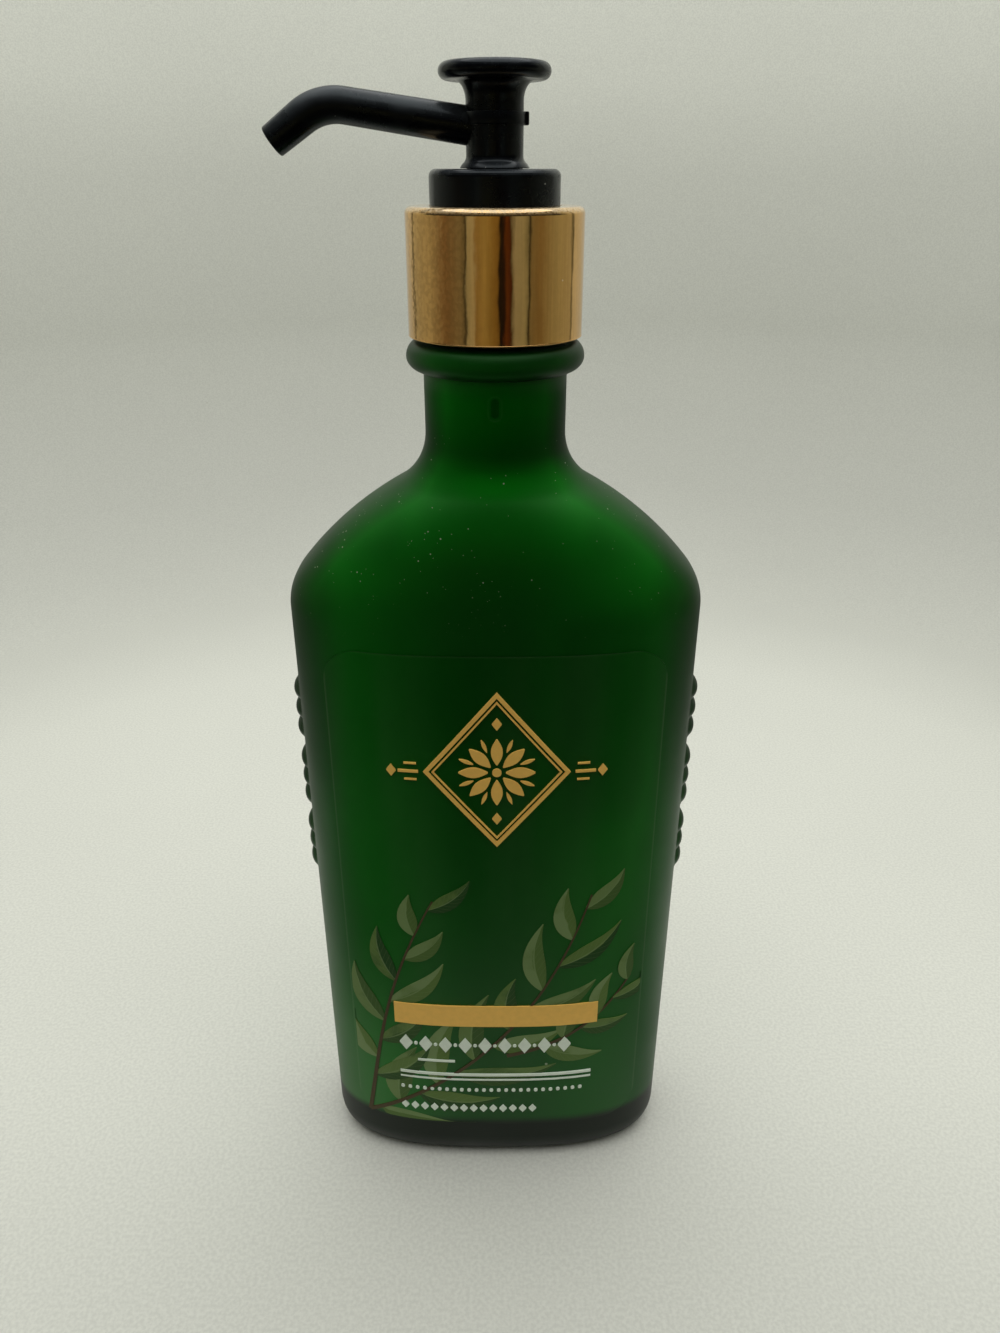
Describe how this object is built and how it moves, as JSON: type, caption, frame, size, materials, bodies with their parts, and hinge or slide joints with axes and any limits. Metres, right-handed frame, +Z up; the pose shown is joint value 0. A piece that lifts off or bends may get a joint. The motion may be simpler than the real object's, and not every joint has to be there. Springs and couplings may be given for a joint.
{
  "type": "pump bottle",
  "caption": "Flask-shaped green pump bottle with a lock-down lotion pump, a curved spout, a gold closure and a clear front label film.",
  "frame": {"origin": "middle of the foot, on the surface that the bottle stands on", "axes": "+Z up through the neck and head; the broad labelled face looks along -Y; the spout points along -X"},
  "size_m": [0.0682, 0.0307, 0.1902],
  "materials": {
    "bottle_green": "frosted translucent deep green plastic",
    "label_film": "clear self-adhesive film on the green wall",
    "cap_plastic": "natural polypropylene",
    "shell_gold": "polished gold anodised aluminium",
    "gasket_foam": "soft white foam liner",
    "pump_plastic": "translucent natural polypropylene",
    "head_black": "glossy black polypropylene",
    "valve_steel": "polished stainless steel ball",
    "spring_steel": "drawn stainless steel wire",
    "piston_plastic": "white polyethylene"
  },
  "bodies": {
    "flask": {"bottle": "bottle_green", "front_label": "label_film"},
    "pump_body": {"pump_housing": "pump_plastic", "dip_tube": "pump_plastic", "neck_gasket": "gasket_foam", "lock_collar": "head_black", "ball_cage": "pump_plastic", "return_spring": "spring_steel"},
    "closure": {"screw_cap": "cap_plastic", "closure_shell": "shell_gold"},
    "plunger": {"piston": "piston_plastic"},
    "head": {"pump_head": "head_black", "spout": "head_black", "stem": "piston_plastic", "valve_plug": "pump_plastic"},
    "inlet_valve": {"inlet_ball": "valve_steel"},
    "outlet_valve": {"outlet_ball": "valve_steel"}
  },
  "joints": [
    {"name": "pump_lift", "type": "slide", "parent": "flask", "child": "pump_body", "axis": [0, 0, 1], "range_m": [0, 0.17]},
    {"name": "closure_turn", "type": "hinge", "parent": "pump_body", "child": "closure", "pos_m": [0, 0, 0.165], "axis": [0, 0, 1], "continuous": true},
    {"name": "stroke", "type": "slide", "parent": "pump_body", "child": "plunger", "axis": [0, 0, 1], "range_m": [0, 0.01], "deforming": ["return_spring"]},
    {"name": "head_twist", "type": "hinge", "parent": "plunger", "child": "head", "pos_m": [0, 0, 0.18], "axis": [0, 0, 1], "continuous": true},
    {"name": "inlet_lift", "type": "slide", "parent": "pump_body", "child": "inlet_valve", "axis": [0, 0, 1], "range_m": [0, 0.001]},
    {"name": "outlet_lift", "type": "slide", "parent": "head", "child": "outlet_valve", "axis": [0, 0, 1], "range_m": [0, 0.001]}
  ]
}
